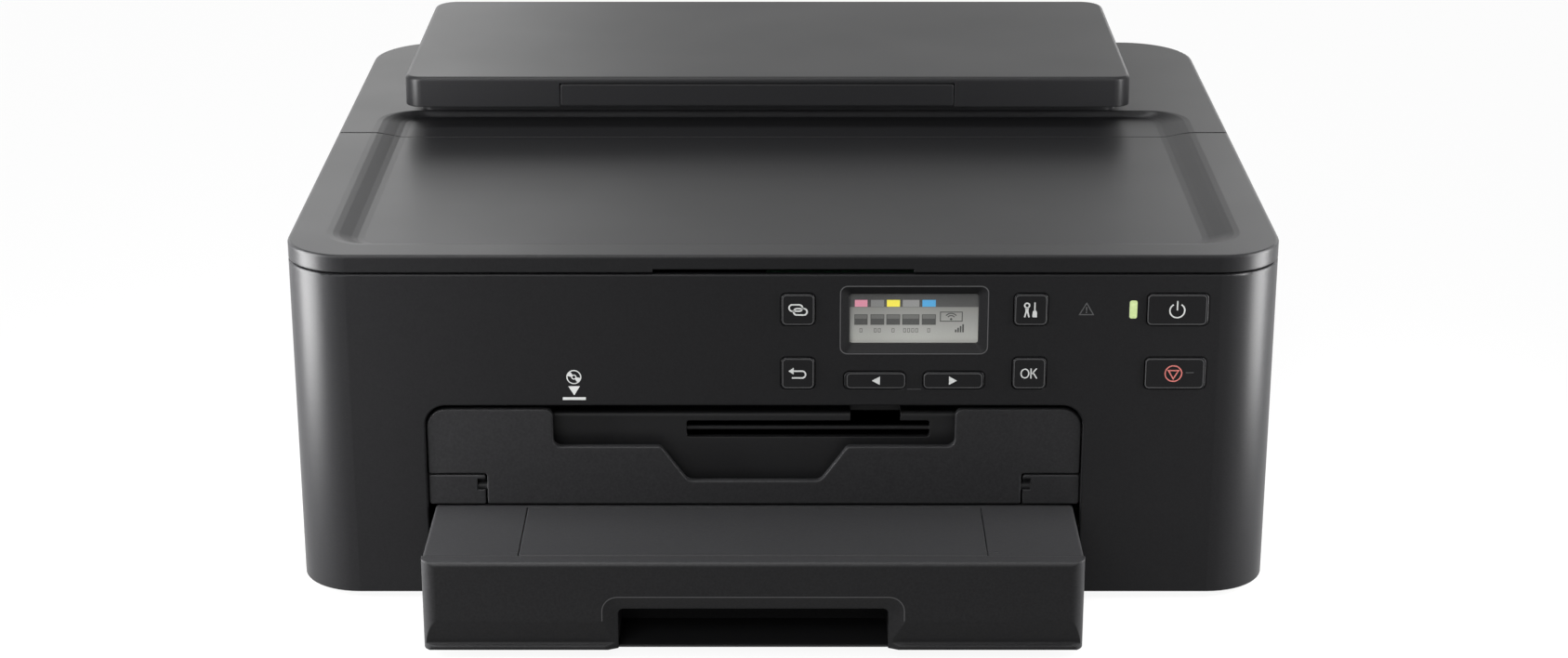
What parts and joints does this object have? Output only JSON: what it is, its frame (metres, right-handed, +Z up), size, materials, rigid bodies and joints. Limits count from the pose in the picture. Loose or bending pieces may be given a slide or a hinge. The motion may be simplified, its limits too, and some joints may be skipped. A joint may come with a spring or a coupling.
{
  "type": "inkjet printer",
  "caption": "Low black desktop inkjet printer with a front paper cassette, drop-down output door, button panel with small display, lift-up access cover and raised rear feed cover.",
  "frame": {"origin": "floor under the middle of the overall box, cassette in", "axes": "+X to the right seen from the front, +Y to the rear, +Z up"},
  "size_m": [0.372, 0.365, 0.158],
  "materials": {
    "case_plastic": "fine satin texture",
    "inner_black": "matt",
    "rubber": "matt",
    "steel": "zinc plated",
    "roller": "ceramic coated",
    "gear_plastic": "moulded",
    "board": "solder mask",
    "display": "polarised film",
    "window": "clear",
    "film": "clear film with fine bars",
    "lamp": "frosted light guide",
    "ink_tank": "smooth",
    "felt": "pressed felt",
    "psu": "matt"
  },
  "bodies": {
    "case": {"main_case": "case_plastic", "base_case": "inner_black", "rubber_feet": "rubber", "rear_top_cover": "case_plastic", "panel_board": "board", "lcd_window": "window", "lcd_module": "display", "power_lamp": "lamp", "door_hinge_blocks": "case_plastic", "inner_cover": "inner_black", "feed_motor": "steel", "side_plates": "steel", "carriage_shaft": "steel", "chassis_beam": "steel", "timing_belt": "rubber", "carriage_motor": "steel", "encoder_strip": "film", "platen": "inner_black", "pinch_rollers": "inner_black", "spur_wheels": "inner_black", "rear_feed_tray": "inner_black", "purge_unit": "inner_black", "ink_absorber": "felt", "logic_board": "board", "port_sockets": "steel", "power_supply": "psu"},
    "access_cover": {"access_cover": "case_plastic"},
    "feed_cover": {"feed_cover": "case_plastic"},
    "paper_support": {"paper_support": "case_plastic"},
    "output_door": {"output_door": "case_plastic"},
    "output_flap": {"output_flap": "case_plastic"},
    "cassette_guide_left": {"cassette_guide_left": "inner_black"},
    "cassette_guide_right": {"cassette_guide_right": "inner_black"},
    "cassette_guide_end": {"cassette_guide_end": "inner_black"},
    "feed_roller": {"feed_roller": "roller"},
    "eject_roller": {"eject_roller": "roller"},
    "idler_gear": {"idler_gear": "gear_plastic"},
    "motor_pinion": {"motor_pinion": "gear_plastic"},
    "drive_pulley": {"drive_pulley": "gear_plastic"},
    "idle_pulley": {"idle_pulley": "gear_plastic"},
    "pickup_arm": {"pickup_arm": "inner_black"},
    "pickup_rollers": {"pickup_rollers": "rubber"},
    "rear_guide_left": {"rear_guide_left": "inner_black"},
    "rear_guide_right": {"rear_guide_right": "inner_black"},
    "rear_feed_roller": {"rear_feed_roller": "rubber"},
    "rear_panel": {"rear_panel": "case_plastic"},
    "cassette": {"cassette_tray": "inner_black", "cassette_front": "case_plastic", "cassette_lid": "case_plastic"},
    "carriage": {"carriage": "inner_black", "print_head": "inner_black", "ink_tanks": "ink_tank"},
    "connect_button": {"connect_button": "case_plastic"},
    "back_button": {"back_button": "case_plastic"},
    "left_button": {"left_button": "case_plastic"},
    "right_button": {"right_button": "case_plastic"},
    "tools_button": {"tools_button": "case_plastic"},
    "ok_button": {"ok_button": "case_plastic"},
    "power_button": {"power_button": "case_plastic"},
    "stop_button": {"stop_button": "case_plastic"}
  },
  "joints": [
    {"name": "access_cover_hinge", "type": "hinge", "parent": "case", "child": "access_cover", "pos_m": [0, 0.029, 0.134], "axis": [-1, 0, 0], "range_deg": [0, 55]},
    {"name": "feed_cover_hinge", "type": "hinge", "parent": "case", "child": "feed_cover", "pos_m": [0, 0.1765, 0.1482], "axis": [-1, 0, 0], "range_deg": [0, 110]},
    {"name": "paper_support_slide", "type": "slide", "parent": "feed_cover", "child": "paper_support", "axis": [0, -1, 0], "range_m": [0, 0.09]},
    {"name": "output_door_hinge", "type": "hinge", "parent": "case", "child": "output_door", "pos_m": [0, -0.1275, 0.0456], "axis": [1, 0, 0], "range_deg": [0, 90]},
    {"name": "cassette_slide", "type": "slide", "parent": "case", "child": "cassette", "axis": [0, -1, 0], "range_m": [0, 0.24]},
    {"name": "output_flap_hinge", "type": "hinge", "parent": "cassette", "child": "output_flap", "pos_m": [0, -0.1728, 0.0373], "axis": [1, 0, 0], "range_deg": [0, 125]},
    {"name": "cassette_guide_left_slide", "type": "slide", "parent": "cassette", "child": "cassette_guide_left", "axis": [1, 0, 0], "range_m": [0, 0.05]},
    {"name": "cassette_guide_right_slide", "type": "slide", "parent": "cassette", "child": "cassette_guide_right", "axis": [-1, 0, 0], "range_m": [0, 0.05]},
    {"name": "cassette_guide_end_slide", "type": "slide", "parent": "cassette", "child": "cassette_guide_end", "axis": [0, -1, 0], "range_m": [0, 0.06]},
    {"name": "carriage_slide", "type": "slide", "parent": "case", "child": "carriage", "axis": [1, 0, 0], "range_m": [-0.229, 0]},
    {"name": "drive_pulley_spin", "type": "hinge", "parent": "case", "child": "drive_pulley", "pos_m": [-0.15, 0.0325, 0.1], "axis": [0, 1, 0], "continuous": true},
    {"name": "idle_pulley_spin", "type": "hinge", "parent": "case", "child": "idle_pulley", "pos_m": [0.15, 0.0325, 0.1], "axis": [0, 1, 0], "continuous": true},
    {"name": "feed_roller_spin", "type": "hinge", "parent": "case", "child": "feed_roller", "pos_m": [0, 0.0095, 0.068], "axis": [1, 0, 0], "continuous": true},
    {"name": "eject_roller_spin", "type": "hinge", "parent": "case", "child": "eject_roller", "pos_m": [0, -0.0555, 0.068], "axis": [1, 0, 0], "continuous": true},
    {"name": "idler_gear_spin", "type": "hinge", "parent": "case", "child": "idler_gear", "pos_m": [0, -0.023, 0.068], "axis": [1, 0, 0], "continuous": true},
    {"name": "motor_pinion_spin", "type": "hinge", "parent": "case", "child": "motor_pinion", "pos_m": [0, 0.02199, 0.0435], "axis": [1, 0, 0], "continuous": true},
    {"name": "rear_feed_roller_spin", "type": "hinge", "parent": "case", "child": "rear_feed_roller", "pos_m": [0, 0.12916, 0.1045], "axis": [1, 0, 0], "continuous": true},
    {"name": "pickup_arm_swing", "type": "hinge", "parent": "case", "child": "pickup_arm", "pos_m": [0, 0.0945, 0.052], "axis": [1, 0, 0], "range_deg": [0, 30], "stiffness_Nm_per_rad": 0.06, "springref_deg": -20.05},
    {"name": "pickup_rollers_spin", "type": "hinge", "parent": "pickup_arm", "child": "pickup_rollers", "pos_m": [0, 0.03475, 0.0465], "axis": [1, 0, 0], "continuous": true},
    {"name": "rear_guide_left_slide", "type": "slide", "parent": "case", "child": "rear_guide_left", "axis": [1, 0, 0], "range_m": [0, 0.055]},
    {"name": "rear_guide_right_slide", "type": "slide", "parent": "case", "child": "rear_guide_right", "axis": [-1, 0, 0], "range_m": [0, 0.055]},
    {"name": "rear_panel_pull", "type": "slide", "parent": "case", "child": "rear_panel", "axis": [0, 1, 0], "range_m": [0, 0.03]},
    {"name": "connect_button_press", "type": "slide", "parent": "case", "child": "connect_button", "axis": [0, 1, 0], "range_m": [0, 0.0008], "stiffness_N_per_m": 600},
    {"name": "back_button_press", "type": "slide", "parent": "case", "child": "back_button", "axis": [0, 1, 0], "range_m": [0, 0.0008], "stiffness_N_per_m": 600},
    {"name": "left_button_press", "type": "slide", "parent": "case", "child": "left_button", "axis": [0, 1, 0], "range_m": [0, 0.0008], "stiffness_N_per_m": 600},
    {"name": "right_button_press", "type": "slide", "parent": "case", "child": "right_button", "axis": [0, 1, 0], "range_m": [0, 0.0008], "stiffness_N_per_m": 600},
    {"name": "tools_button_press", "type": "slide", "parent": "case", "child": "tools_button", "axis": [0, 1, 0], "range_m": [0, 0.0008], "stiffness_N_per_m": 600},
    {"name": "ok_button_press", "type": "slide", "parent": "case", "child": "ok_button", "axis": [0, 1, 0], "range_m": [0, 0.0008], "stiffness_N_per_m": 600},
    {"name": "power_button_press", "type": "slide", "parent": "case", "child": "power_button", "axis": [0, 1, 0], "range_m": [0, 0.0008], "stiffness_N_per_m": 600},
    {"name": "stop_button_press", "type": "slide", "parent": "case", "child": "stop_button", "axis": [0, 1, 0], "range_m": [0, 0.0008], "stiffness_N_per_m": 600}
  ],
  "couplings": [
    {"joint": "cassette_guide_right_slide", "follows": "cassette_guide_left_slide", "ratio": 1},
    {"joint": "rear_guide_right_slide", "follows": "rear_guide_left_slide", "ratio": 1},
    {"joint": "drive_pulley_spin", "follows": "carriage_slide", "rad_per_m": 144.93},
    {"joint": "idle_pulley_spin", "follows": "carriage_slide", "rad_per_m": 144.93},
    {"joint": "eject_roller_spin", "follows": "feed_roller_spin", "ratio": 1},
    {"joint": "idler_gear_spin", "follows": "feed_roller_spin", "ratio": -1.6},
    {"joint": "motor_pinion_spin", "follows": "feed_roller_spin", "ratio": -2.6667}
  ]
}
